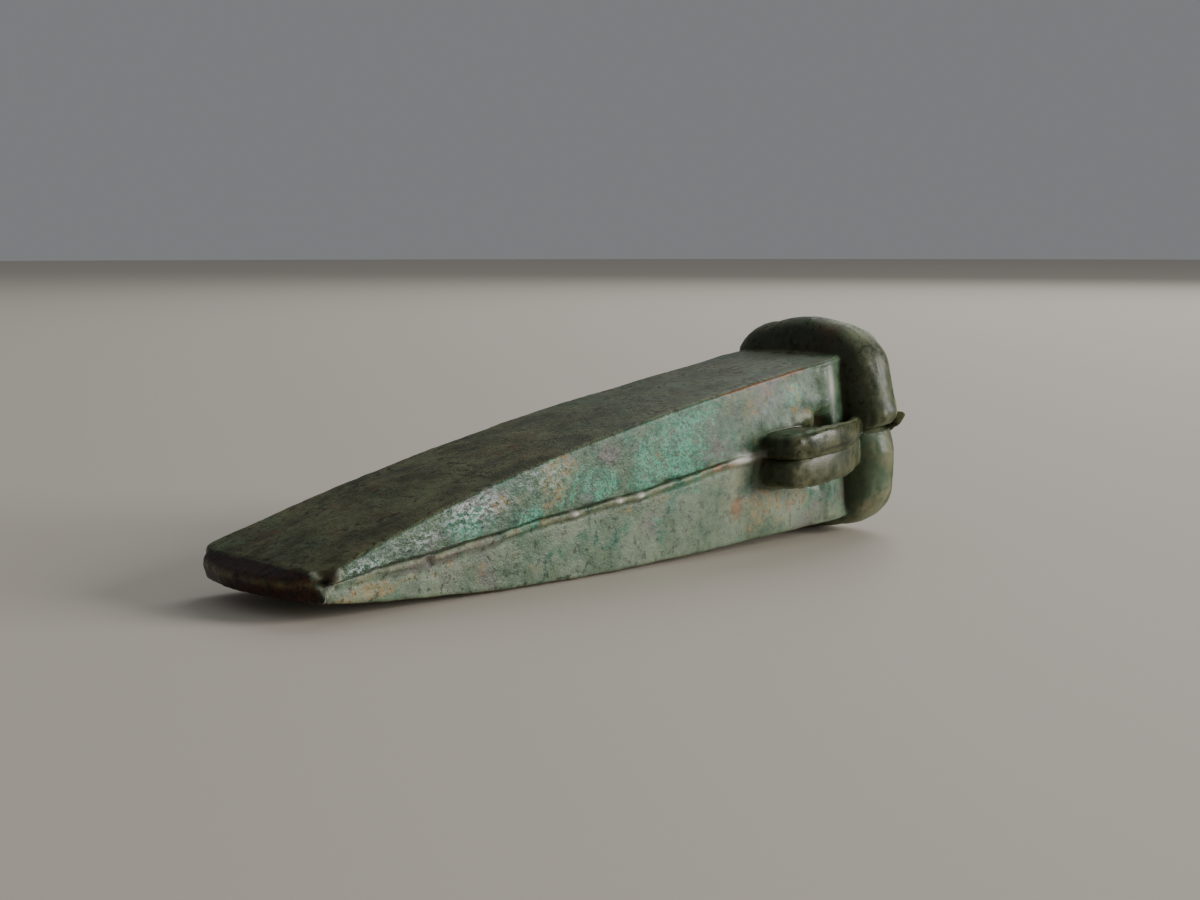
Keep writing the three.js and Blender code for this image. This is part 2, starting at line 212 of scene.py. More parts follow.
def outside_rings():
    """The rings of the nose, the blade's rounded corners and the body. The nose's top rises in
    a small quarter round and then straight, its underside is an oval of the fourth power, and
    its front is a parabola seen from above. The body swells in a half sine before the collar."""
    nose = 1 - np.cos(np.linspace(0, math.pi / 2, NOSE_RINGS + 1)[:-1])
    plan = 1 - np.cos(np.linspace(0, math.pi / 2, PLAN_RINGS + 1)[:-1])
    body_from = NOSE_LENGTH + BLADE_CORNER_RADIUS
    x = np.concatenate([nose * NOSE_LENGTH, NOSE_LENGTH + plan * BLADE_CORNER_RADIUS,
                        np.linspace(body_from, FOOT + COLLAR_FILLET, BODY_RINGS)])
    back = np.maximum(0, 1 - x / NOSE_LENGTH)
    corner = np.clip(1 - (x - NOSE_LENGTH) / BLADE_CORNER_RADIUS, 0, 1)
    cut = BLADE_CORNER_RADIUS * (1 - np.sqrt(1 - corner ** 2))
    swell = np.sin(math.pi * np.maximum(0, 1 - (FOOT - x) / SWELL_LENGTH) ** 1.6)
    half = half_width(x) - 0.6 * cut + SWELL_PROUD * swell
    blunt = np.sin(np.minimum(1, np.arange(len(x)) / 6) * math.pi / 2)
    up = half_thickness(x) * (NOSE_LIP_SHARE * blunt + (1 - NOSE_LIP_SHARE) * (1 - back))
    down = half_thickness(x) * np.sqrt(1 - back ** 4)
    crown = FACE_CROWN * np.minimum(1, x / FLARE_LENGTH)
    plain = np.zeros_like(x)
    outside = rings(x, half, up, down, plain + CORNER_RADIUS, crown, ease(2, 5, x), plain,
                    EDGE_CRESCENT * back)
    outside[:, :, 1] -= 0.4 * cut[:, None]
    return outside


def collar_rings():
    """The rings of the collar: a bead that swings round from its foot to the rim, while its
    corners and crown grow with it. The last ring is drawn back to leave a small lip."""
    angle = np.linspace(0, math.pi - RIM_ANGLE, COLLAR_RINGS + 1)[1:]
    out = np.sin(angle)
    mouth = MOUTH_THICKNESS / 2
    reach = (COLLAR_HEIGHT - COLLAR_FILLET) / (1 + math.cos(RIM_ANGLE))
    plain = np.zeros_like(angle)
    collar = rings(
        FOOT + COLLAR_FILLET + reach * (1 - np.cos(angle)), MOUTH_WIDTH / 2 + COLLAR_PROUD * out,
        mouth + COLLAR_PROUD * out, mouth + COLLAR_PROUD_BELOW * out,
        CORNER_RADIUS + (COLLAR_CORNER_RADIUS - CORNER_RADIUS) * out ** 0.8,
        FACE_CROWN + (COLLAR_CROWN - FACE_CROWN) * out, plain + 1, COLLAR_NOTCH * out, plain)
    collar[-1, :, 0] = LENGTH - 0.25
    return collar


def socket_rings():
    """The rings of the socket, from the mouth inwards: plain ones that follow the body at one
    wall's distance, a little flared at the mouth, then a small dome closed by its flat end."""
    depth = np.concatenate([[0.0, 0.25, 0.8],
                            np.linspace(1.8, SOCKET_DEPTH - SOCKET_CORNER_RADIUS, SOCKET_RINGS)])
    dome = np.linspace(0, math.pi / 2, DOME_RINGS + 1)[1:]
    shrink = np.concatenate([np.ones(len(depth)), 1 - (1 - np.cos(dome)) * 0.35])
    shrink = np.concatenate([shrink, np.linspace(shrink[-1], 0, 5)[1:]])
    depth = np.concatenate([depth, SOCKET_DEPTH - SOCKET_CORNER_RADIUS * (1 - np.sin(dome)),
                            np.full(4, SOCKET_DEPTH)])
    x = LENGTH - depth
    inward = WALL - SOCKET_FLARE * ease(0.9, 0, depth)
    taper = SOCKET_TAPER * np.minimum(1, depth / SOCKET_DEPTH)
    half = (MOUTH_WIDTH / 2 - inward - taper) * shrink
    up = (half_thickness(x) - inward) * shrink
    plain = np.zeros_like(x)
    return rings(x, half, up, up, SOCKET_CORNER_RADIUS * shrink, plain, plain, plain, plain)


def casting_rings():
    """Stacks the rings of the outside, the collar and the socket, with the rim's flat rings
    between the last two at even shares of the way."""
    collar, socket = collar_rings(), socket_rings()
    share = np.array([0.06, 0.2, 0.4, 0.6, 0.8, 0.94])[:, None, None]
    rim = collar[-1:] * (1 - share) + socket[:1] * share
    rim[:, :, 0] = LENGTH
    return np.concatenate([outside_rings(), collar, rim, socket])


def closed_mesh(name, grid):
    """Makes a mesh from a grid of points whose rows are closed rings: each point is joined to
    the next in its ring and to the next ring. Points that fall together become one, each end
    is filled, and the faces are turned outwards."""
    count, columns = grid.shape[:2]
    index = np.arange(count * columns).reshape(count, columns)
    after = np.roll(index, -1, 1)
    quads = np.stack([index[:-1], after[:-1], after[1:], index[1:]], 2).reshape(-1, 4)
    mesh = bpy.data.meshes.new(name)
    mesh.from_pydata(grid.reshape(-1, 3).tolist(), [], quads.tolist())
    work = bmesh.new()
    work.from_mesh(mesh)
    bmesh.ops.remove_doubles(work, verts=work.verts, dist=MERGE_DISTANCE)
    open_edges = [edge for edge in work.edges if edge.is_boundary]
    bmesh.ops.holes_fill(work, edges=open_edges, sides=0)
    bmesh.ops.triangulate(work, faces=[face for face in work.faces if len(face.verts) > 4])
    bmesh.ops.recalc_face_normals(work, faces=work.faces)
    work.to_mesh(mesh)
    work.free()
    piece = bpy.data.objects.new(name, mesh)
    bpy.context.scene.collection.objects.link(piece)
    return piece


axe = closed_mesh("bronze_axe_head", casting_rings())

# The loop and the spur. The loop is a strap of bronze that springs from the body and ends on
# the collar, for the cord that tied the head to its haft. It was cut into both mould halves,
# so it is two lobes, one slipped over the other. The spur is a leaf of flash at the rim.
LOOP_HEIGHT = 10.4
LOOP_LENGTH = 24.0
LOOP_RINGS = 64
LOOP_COLUMNS = 32
SPUR_PROUD = 6.784
SPUR_HEIGHT = 5.0
SPUR_THICKNESS = 1.1
SPUR_RINGS = 12
SPUR_COLUMNS = 16
OUTER_CURVE = np.array([
    (-22.9, -1.5), (-22.9, 0), (-22.3, 4.0), (-20.8, 6.5), (-17.6, 7.5), (-13, 7.6), (-8.5, 7.1),
    (-4.84, 6.1), (-1.5, 4.5), (2.2, 2.4), (5.6, -0.8)])
INNER_CURVE = np.array([
    (-11.8, -1.5), (-11.8, 0), (-11.8, 2.4), (-11.7, 3.8), (-11.3, 4.5), (-10.2, 4.8), (-7.6, 4.8),
    (-5.3, 4.5), (-2.8, 2.8), (0, 0.9), (2.8, -1.2)])


def smooth_row(points, count):
    """A smooth curve through points, at even steps of their number: between two points it is
    the cubic whose slope at each is half the step between that point's neighbours."""
    place = np.linspace(0, len(points) - 1, count)
    low = np.minimum(place.astype(int), len(points) - 2)
    t = (place - low)[:, None]
    slopes = np.gradient(points, axis=0)
    return ((2 * t ** 3 - 3 * t ** 2 + 1) * points[low] + (t ** 3 - 2 * t ** 2 + t) * slopes[low]
            + (3 * t ** 2 - 2 * t ** 3) * points[low + 1] + (t ** 3 - t ** 2) * slopes[low + 1])


def loop_lobe(low, high_at_body, high_at_collar, slip):
    """One lobe of the loop, as rings that are carried along it. Each ring spans the distance
    between the loop's inner and outer curve and the lobe's lowest and highest z, and is a
    superellipse, so that the strap is flat with well rounded edges."""
    outer, inner = smooth_row(OUTER_CURVE, LOOP_RINGS), smooth_row(INNER_CURVE, LOOP_RINGS)
    along = np.linspace(0, 1, LOOP_RINGS)
    high = high_at_body + (high_at_collar - high_at_body) * ease(0.45, 0.9, along)
    turn = np.linspace(0, 2 * math.pi, LOOP_COLUMNS + 1)[:-1]
    out = np.sign(np.cos(turn)) * np.abs(np.cos(turn)) ** (2 / 2.6)
    rise = np.sign(np.sin(turn)) * np.abs(np.sin(turn)) ** (2 / 3.0)
    middle, reach = (outer + inner) / 2, (outer - inner) / 2
    flat = middle[:, None, :] + reach[:, None, :] * out[None, :, None]
    z = ((low + high) / 2)[:, None] + ((high - low) / 2)[:, None] * rise[None, :]
    side = half_width(FOOT - LOOP_LENGTH / 2)
    return np.stack([FOOT + flat[:, :, 0], -side - slip - flat[:, :, 1], z], 2)


def spur_leaf():
    """The spur, as elliptical rings along its length: a thin flat leaf that leaves the
    collar's notch, rises with a power of the way out, and narrows to a blunt tip."""
    along = np.linspace(0, 1, SPUR_RINGS)
    middle = np.stack([
        LENGTH - 1.0 + 0 * along, -MOUTH_WIDTH / 2 - 0.4 - SPUR_PROUD * along,
        0.6 + 0.44 * SPUR_HEIGHT * along ** 1.5], 1)
    height = SPUR_HEIGHT * (0.42 - 0.16 * along) * np.sqrt(1 - 0.97 * along ** 5)
    thick = SPUR_THICKNESS / 2 * np.sqrt(1 - 0.96 * along ** 5)
    turn = np.linspace(0, 2 * math.pi, SPUR_COLUMNS + 1)[:-1]
    return np.stack([middle[:, 0:1] + thick[:, None] * np.cos(turn), middle[:, 1:2] + 0 * turn,
                     middle[:, 2:3] + height[:, None] * np.sin(turn)], 2)


def join(piece, others):
    """Fuses the others into a piece as one closed skin, and takes them away."""
    for other in others:
        union = piece.modifiers.new(other.name, "BOOLEAN")
        union.operation = "UNION"
        union.solver = "MANIFOLD"
        union.object = other
    bpy.context.view_layer.update()
    whole = piece.evaluated_get(bpy.context.evaluated_depsgraph_get())
    fused = bpy.data.meshes.new_from_object(whole)
    piece.modifiers.clear()
    piece.data = fused
    for other in others:
        bpy.data.objects.remove(other)


join(axe, [closed_mesh("loop_upper_lobe", loop_lobe(-0.15, 4.75, 3.7, MOULD_SLIP)),
           closed_mesh("loop_lower_lobe", loop_lobe(-LOOP_HEIGHT / 2, 0.7, 0.7, 0)),
           closed_mesh("rim_spur", spur_leaf())])

# The surface. Roots and lobes run together as cast bronze does, one corner of the blade is
# knocked off, and the skin is pitted and swollen by corrosion. The finished mesh is then laid
# down as the axe rests, on its lower face.
CHIP_ORIGIN = np.array([NOSE_LENGTH, -13.1, EDGE_THICKNESS / 2])
CHIP_FACING = np.array([-0.699, -0.575, 0.425])
CHIP_HOLLOW = np.array([4.2, -14.7, 1.0])
CHIP_HOLLOW_RADIUS = 0.95
MOUNT_POINT = np.array([LENGTH, MOUTH_WIDTH / 2 - 0.1, 6.0])
SOFTENING_ROUNDS = 6
# Patches of colour on the narrow sides: x and z of the middle, the two radii and the strength.
TEAL = [(31, 3.2, 6, 2.5, 0.9), (50, 6.0, 5, 4, 0.8), (57, 3.5, 5, 3, 1.0), (75, 6.0, 12, 8, 1.0),
        (105, 9.5, 3, 2, 1.0), (42, 1.5, 5, 2, 0.7), (111, -7, 4, 4, 0.5), (60, -4, 16, 3, 0.35),
        (12, -2.6, 6, 1.2, 0.4)]
TAN = [(49, 7.0, 4.5, 4.0, 1.0), (38, 5.2, 3.5, 2.0, 0.7), (12, -2.2, 8, 1.4, 0.9),
       (98, 6, 14, 12, 0.55), (101, -6, 12, 5, 0.75), (30, -3, 10, 2, 0.4),
       (64, -1.6, 9, 1.2, 0.5), (55, -5, 4, 2, 0.4)]
LILAC = [(32, 5.2, 4.5, 2.2, 0.9), (55, 3.4, 3, 3, 0.8), (24, 2.6, 3, 1.6, 0.8),
         (60, 8.5, 4, 2.5, 0.8), (85, 3.2, 4, 1.8, 0.8), (99, 13.0, 4, 2.0, 0.8),
         (26, -0.6, 10, 1.0, 0.6), (70, -5, 5, 3, 0.4)]
# GLINT: where painted highlights go, pale specks that stand in for the lamp's glints on the rough
# side.
GLINT = [(10, 1.7, 5, 1.0, 1.0), (31, 5.0, 6, 2.6, 1.0), (20, 3.2, 5, 1.4, 0.8),
         (46, 7.5, 6, 2.5, 0.5)]
RUST = [(87, 0.8, 4, 0.7, 1.0), (89, -7.0, 2, 3.0, 0.8), (95, 14.2, 11, 0.9, 1.0),
        (4, 0.6, 4, 0.7, 0.8), (68, 13.4, 2, 0.6, 0.8), (103, -9, 3, 1.5, 0.5)]


def grain(points, size, seed):
    """Smooth noise of about -1 to 1, in cells of a size: each corner of a cubic lattice has a
    slope worked out from its own whole numbers, and the eight slopes are blended by a quintic."""
    scaled = points / size + seed * 7.13
    cell = np.floor(scaled).astype(np.int64)
    within = scaled - cell
    fade = within ** 3 * (within * (within * 6 - 15) + 10)
    total = np.zeros(len(points))
    for corner in np.ndindex(2, 2, 2):
        corner = np.array(corner)
        key = (cell + corner) @ np.array([73856093, 19349663, 83492791]) + seed * 961748927
        key = key & 0xFFFFFFFF
        key = ((key ^ (key >> 15)) * 2246822519) & 0xFFFFFFFF
        key = ((key ^ (key >> 13)) * 3266489917) & 0xFFFFFFFF
        slope = np.stack([key & 1023, (key >> 10) & 1023, (key >> 20) & 1023], 1) / 511.5 - 1
        share = np.where(corner == 1, fade, 1 - fade).prod(1)
        total += share * (slope * (within - corner)).sum(1)
    return total * 1.7


def spread(values, edges, times):
    """Evens out a value over the surface: each point takes the mean of itself and its
    neighbours along the edges, a number of times."""
    degree = np.bincount(edges.ravel(), minlength=len(values)) + 1
    degree = degree[:, None] if values.ndim == 2 else degree
    for _ in range(times):
        total = values.copy()
        np.add.at(total, edges[:, 0], values[edges[:, 1]])
        np.add.at(total, edges[:, 1], values[edges[:, 0]])
        values = total / degree
    return values


def soften_joins(points, edges):
    """Runs the joins together: points near the loop's root, the collar's foot and the blade's
    far corner go most of the way to the mean of their neighbours, a few times over."""
    x, y, z = points.T
    near_root = (ease(1.6, 0.5, np.abs(y + half_width(x))) * ease(FOOT - 26, FOOT - 24, x)
                 * ease(FOOT + 8, FOOT + 5, x))
    near_root = near_root * ease(7.5, 5.8, np.abs(z)) * (y < 0)
    from_middle = np.maximum(np.abs(y), np.abs(z) - (MOUTH_THICKNESS - MOUTH_WIDTH) / 2)
    near_foot = bell(x - FOOT - COLLAR_FILLET, 0.7) * ease(
        MOUTH_WIDTH / 2 - 1.6, MOUTH_WIDTH / 2 - 1.0, from_middle)
    near_tip = bell(x - 1.5, 3.0) * bell(y - 16, 2.5)
    blend = np.maximum(np.maximum(near_root, near_foot), near_tip)
    for _ in range(SOFTENING_ROUNDS):
        points = points + blend[:, None] * 0.7 * (spread(points, edges, 1) - points)
    return points


def break_corner(points):
    """Knocks off the blade's corner: points beyond a slanting plane fall back on it, a round
    hollow is pressed below it, the top beside it sags, and a low wavy ridge runs across the
    blunt edge. Also returns how much of the break, the hollow and the ridge each point has."""
    beyond = (points - CHIP_ORIGIN) @ CHIP_FACING
    points = points - np.maximum(beyond, 0)[:, None] * CHIP_FACING
    hollow = np.exp(-(((points - CHIP_HOLLOW) / CHIP_HOLLOW_RADIUS) ** 2).sum(1))
    points = points - 0.9 * hollow[:, None] * CHIP_FACING
    x, y, z = points.T
    z = z - 0.6 * bell(x - 4, 4) * bell(y + 16, 3) * ease(0, 1.5, z)
    ridge = bell(z - 0.35, 0.5) * ease(NOSE_LENGTH, NOSE_LENGTH - 1.0, x) * ease(15, 11, y)
    x = x - 0.25 * ridge * (0.8 + 0.4 * np.sin(y * 1.3))
    return np.stack([x, y, z], 1), ease(-0.25, 0, beyond), hollow, ridge


def corrosion(points, bend, wide, inside):
    """How far corrosion lifts or eats the skin, along its normal: broad swellings, small bumps
    that are coarser near the blade, pits in patches and nicks on sharp edges. Each is noise,
    and a pit or nick is the part of its noise above a level."""
    rough = (0.55 + 0.75 * ease(80, 30, points[:, 0])) * (1 - 0.5 * wide)
    swollen = 0.14 * grain(points, 11, 1) + 0.06 * grain(points, 4.2, 2)
    bumps = 0.035 * grain(points, 2.1, 3) + 0.045 * grain(points, 1.0, 4)
    pits = np.maximum(0, grain(points, 1.3, 5) - 0.5) * np.maximum(0, 0.5 + grain(points, 9, 6))
    nicks = 0.25 * np.maximum(0, grain(points, 2.6, 7)) + 0.3 * np.maximum(0, grain(points, 1.3, 8))
    relief = swollen + bumps * rough - 0.35 * pits - np.clip(bend * 40, 0, 1) * nicks
    return relief * np.where(inside > 0, 0.7, 1.0)


def patches(points, places):
    """How much of a patch lies on a point: the greatest of some elliptical humps in x and z,
    each with its place, its two radii and its strength."""
    x, z = points[:, 0:1], points[:, 2:3]
    place_x, place_z, wide, high, strength = np.array(places).T
    return (strength * np.exp(-((x - place_x) / wide) ** 2 - ((z - place_z) / high) ** 2)).max(1)


def patina_masks(points, above, normal_x, wide, bend, inside, chipped, hollow, ridge):
    """Where the patina changes, and where light and shade are painted into it, as a value for each
    point: a product of smooth steps and humps of its place, its height above the seam and the way
    it faces."""
    x, y, z = points.T
    outer = 1 - inside
    near, far = ease(-3, -7, y) * outer, ease(3, 7, y) * outer
    strap = near * ease(1.6, 2.8, -y - half_width(x)) * ease(FOOT + 3, FOOT, x) * ease(5.7, 5.1, z)
    collar = outer * ease(FOOT - 0.5, FOOT + 1.5, x)
    sides = (near + 0.6 * far) * (1 - wide) * (1 - strap) * (1 - collar)
    leaf = (outer * ease(LENGTH - 2.6, LENGTH - 1.9, x) * ease(-16.9, -17.5, y)
            * ease(6, 4.5, np.abs(z)))
    rim = outer * ease(LENGTH - 2.0, LENGTH - 0.3, x)
    below = ((near + 0.5 * far * (1 - collar)) * ease(-0.6, -1.6, above)
             * ease(LENGTH - 1, LENGTH - 4, x))
    # Partly dark patina, partly painted shade: faces turned towards the blade are darkened, as they
    # are in shade.
    back = ease(-0.3, -0.75, normal_x) * outer * ease(LENGTH - 2.6, LENGTH - 3.4, x)
    back *= 1 - 0.8 * collar * near * ease(0.5, -0.5, above)

    loop_knob = bell(x - LOOP_KNOB, 2.7)
    knobs = sum(bell(x - place, length - 0.1) for place, length, proud in KNOBS if proud > 0)
    # Partly pale crust on the flash's knobs, partly painted highlight: the bright spot at the
    # loop's knob and the upright stripe on the swell before the collar.
    pale_knobs_and_highlight = (1.5 * near * (1 - strap) * bell(above + 0.35, 0.65) * loop_knob
              + 0.8 * near * bell(above + 0.6, 0.45) * knobs
              + 0.55 * near * bell(x - FOOT + 3.5, 0.9) * bell(z - 9.8, 3.4))
    flash = (near * np.exp(-np.abs((above + 0.75) / 0.5) ** 4) * ease(FOOT - 22, FOOT - 26, x)
             * ease(6, 9, x))
    # Partly earth, partly painted shade: dark lines along the seam's cleft, the groove below the
    # flash, and the chip's hollow.
    cleft = (near * bell(above + 0.02, 0.17) * ease(3.5, 5, x) * (1 - loop_knob)
             * (0.82 + 0.18 * np.sin(x / 1.3) * ease(60, 30, x)))
    groove = (0.75 * near * bell(above + 1.35, 0.16) * ease(10, 18, x) * ease(75, 50, x)
              * (0.8 + 0.5 * np.sin(x / 1.9)))
    # Painted light: a pale patch beside the loop's leg that lightens the shadow the leg casts on
    # the side.
    painted_fill_light = near * bell(x - 89, 4.5) * bell(z + 3.5, 4.5) * (1 - strap)
    top_ridge = near * ease(80, 90, x) * ease(112, 106, x) * bell(z - half_thickness(x) + 0.2, 0.5)
    reddish = collar * bell(x - FOOT - 3.0, 2.0) * bell(y + 7.5, 3.0) * ease(11, 14, z)

    slant = y + 12.4 + 0.9 * (EDGE_THICKNESS / 2 - z)
    edge = ease(NOSE_LENGTH + 0.9, NOSE_LENGTH - 1.9, x) * ease(-0.3, 0.2, slant)
    chipped = chipped * ease(0.25, -0.25, slant)
    lip = np.maximum(np.maximum(bell(slant + 0.3, 0.4), ease(0.8, 0.1, z)), ease(-15.3, -16.1, y))
    grainy = (0.4 + 0.6 * ease(90, 45, x)) * (1 - 0.4 * strap) * (1 - 0.4 * collar)
    return {
        "wide": wide, "bend": bend, "inside": inside, "strap": strap, "collar": collar,
        "leaf": leaf, "rim": rim, "below": below, "back": back, "pale_knobs_and_highlight": np.clip(pale_knobs_and_highlight, 0, 1),
        "flash": flash, "cleft": cleft + groove + 1.1 * hollow, "painted_fill_light": painted_fill_light,
        "reddish": reddish, "edge": edge, "ridge": ridge, "chipped": chipped,
        "lip": chipped * lip * (1 - 0.8 * hollow), "grainy": grainy,
        "teal": sides * patches(points, TEAL), "tan": sides * patches(points, TAN),
        "lilac": sides * patches(points, LILAC), "glint": sides * patches(points, GLINT),
        "rust": np.maximum(sides * patches(points, RUST), top_ridge)}


def laid_down(points):
    """Turns the points about the y axis by the mount's lean and moves them, so that the mount
    point comes where the record puts it. Whatever would dip below the ground is set on it."""
    mount = frame["record"]["mounts"][0]
    lean = math.asin(mount["axis"][2])
    turned = np.array([[math.cos(lean), 0, -math.sin(lean)], [0, 1, 0],
                       [math.sin(lean), 0, math.cos(lean)]])
    shift = np.array(mount["pos_m"]) * 1000 - turned @ MOUNT_POINT
    laid = (points @ turned.T + shift) / 1000
    laid[:, 2] = np.maximum(laid[:, 2], 0)
    return laid


def weather(piece):
    """Works the joined mesh over and lays it down, and keeps what the patina needs as point
    attributes: the masks, and each point's own place in millimetres. How sharp or hollow the
    skin is at a point is how far it stands out from the mean of its neighbours."""
    mesh = piece.data
    points = np.empty(len(mesh.vertices) * 3)
    edges = np.empty(len(mesh.edges) * 2, np.int64)
    mesh.vertices.foreach_get("co", points)
    mesh.edges.foreach_get("vertices", edges)
    edges = edges.reshape(-1, 2)
    points = soften_joins(points.reshape(-1, 3), edges)
    above = points[:, 2] - seam_height(points[:, 0])
    points, chipped, hollow, ridge = break_corner(points)
    mesh.vertices.foreach_set("co", points.ravel())
    mesh.update()
    normals = np.empty(points.size)
    mesh.vertex_normals.foreach_get("vector", normals)
    normals = normals.reshape(-1, 3)

    skin = WALL - 0.6
    inside = ((points[:, 0] > LENGTH - SOCKET_DEPTH - 1) & (points[:, 0] < LENGTH - 0.1)
              & (np.abs(points[:, 1]) < MOUTH_WIDTH / 2 - skin)
              & (np.abs(points[:, 2]) < half_thickness(points[:, 0]) - skin)).astype(float)
    smooth_normals = spread(normals, edges, 3)
    wide = ease(0.6, 0.82, np.abs(smooth_normals[:, 2]))
    bend = spread(((points - spread(points, edges, 1)) * normals).sum(1), edges, 3)
    points = points + normals * corrosion(points, bend, wide, inside)[:, None]

    masks = patina_masks(points, above, smooth_normals[:, 0], wide, bend, inside, chipped, hollow,
                         ridge)
    for name, values in masks.items():
        mask = mesh.attributes.new(name, "FLOAT", "POINT")
        mask.data.foreach_set("value", values.astype(np.float32))
    own = mesh.attributes.new("own", "FLOAT_VECTOR", "POINT")
    own.data.foreach_set("vector", points.astype(np.float32).ravel())
    mesh.vertices.foreach_set("co", laid_down(points).astype(np.float32).ravel())
    mesh.polygons.foreach_set("use_smooth", np.ones(len(mesh.polygons), bool))
    mesh.update()


weather(axe)

# The patina. Bronze that lay in the ground is covered by a hard skin of copper salts: dark
# olive brown on the wide faces, pale green with mint and tan spots on the narrow sides, and
# earth in the seam and the corners. Light and shade are painted in too: the wide faces are
# darker and the faces turned to the blade darker still, as painted shade, with painted shade in
# the seam's grooves and on the blunt edge, painted glints, highlights and a sheen, and painted
# light in the loop's shadow.


class Wire:
    """One output in a material's node tree. A sum, difference or product of wires, or of a
    wire and a number, adds the Math node that works it out."""

    def __init__(self, tree, socket):
        self.tree, self.socket = tree, socket

    def node(self, kind, settings, sockets, output=0):
        """Adds any other node: its settings first, then the values or links of its sockets."""
        made = self.tree.nodes.new(kind)
        for name, value in settings.items():
            setattr(made, name, value)
        for name, value in sockets.items():
            if isinstance(value, Wire):
                self.tree.links.new(value.socket, made.inputs[name])
            else:
                made.inputs[name].default_value = value
        return Wire(self.tree, made.outputs[output])

    def maths(self, operation, first, second):
        return self.node("ShaderNodeMath", {"operation": operation}, {0: first, 1: second})

    def __add__(self, other):
        return self.maths("ADD", self, other)

    def __sub__(self, other):
        return self.maths("SUBTRACT", self, other)

    def __mul__(self, other):
        return self.maths("MULTIPLY", self, other)

    def __radd__(self, other):
        return self.maths("ADD", other, self)

    def __rsub__(self, other):
        return self.maths("SUBTRACT", other, self)

    def __rmul__(self, other):
        return self.maths("MULTIPLY", other, self)

    def step(self, low, high):
        """A smooth rise from 0 at low to 1 at high, or a fall where low is above high."""
        if low < high:
            return self.node("ShaderNodeMapRange", {"interpolation_type": "SMOOTHSTEP"},
                             {"Value": self, "From Min": low, "From Max": high})
        return 1 - self.step(high, low)

    def between(self, first, second):
        """A colour that runs from the first to the second as this value goes from 0 to 1."""
        return self.node("ShaderNodeMix", {"data_type": "RGBA"}, {0: self, 6: first, 7: second}, 2)

    def cover(self, colour, amount):
        """Lays a colour over this one, by an amount from 0 to 1."""
        return self.node("ShaderNodeMix", {"data_type": "RGBA"}, {0: amount, 6: self, 7: colour}, 2)


def shade(red, green, blue):
    """A colour for a shader socket, from its values of 0 to 255 as they look on a screen."""
    return tuple((value / 255) ** 2.2 for value in (red, green, blue)) + (1.0,)


GREEN_SIDE = shade(50, 76, 57), shade(83, 103, 78)
SAGE = shade(148, 156, 136)
LILAC_GREY = shade(100, 96, 92)
TEAL_STAIN = shade(40, 100, 78)
MINT = shade(86, 160, 130)
TAN_CRUST = shade(152, 124, 78)
RUST_BROWN = shade(116, 70, 34)
DARK_SPECK = shade(34, 40, 34)
PAINTED_GLINT = shade(196, 208, 206)
FLASH_TAN = shade(132, 124, 94)
BARE_BRONZE = shade(38, 45, 26), shade(82, 82, 54)
LOW_COLLAR = shade(70, 88, 64), shade(108, 104, 72)
PAINTED_FILL_TAN = shade(170, 164, 132)
RIM_OLIVE = shade(100, 96, 70)
OLIVE_TOP = shade(60, 62, 37), shade(114, 115, 80)
TOP_GREEN = shade(62, 112, 80)
TOP_RED = shade(124, 72, 44)
TOP_PAINTED_SHEEN = shade(124, 142, 116)
TOP_PIT = shade(30, 28, 16)
OLIVE_PATINA_AND_SHADE = shade(20, 19, 9)
LEAF_GREEN = shade(140, 146, 112)
BLUNT_BROWN_AND_SHADE = shade(28, 12, 3), shade(62, 32, 11)
RIDGE_OLIVE = shade(104, 98, 62)
REDDISH_BROWN = shade(84, 34, 22)
BREAK_BROWN = shade(84, 74, 50)
BREAK_LIP = shade(196, 206, 180)
CREVICE_EARTH = shade(58, 42, 28)
SEAM_EARTH_AND_SHADE = shade(28, 15, 8)
PALE_CRUST_AND_HIGHLIGHT = shade(228, 226, 218)
WORN_EDGE = shade(150, 144, 122)
SOCKET_EARTH = shade(88, 84, 58)


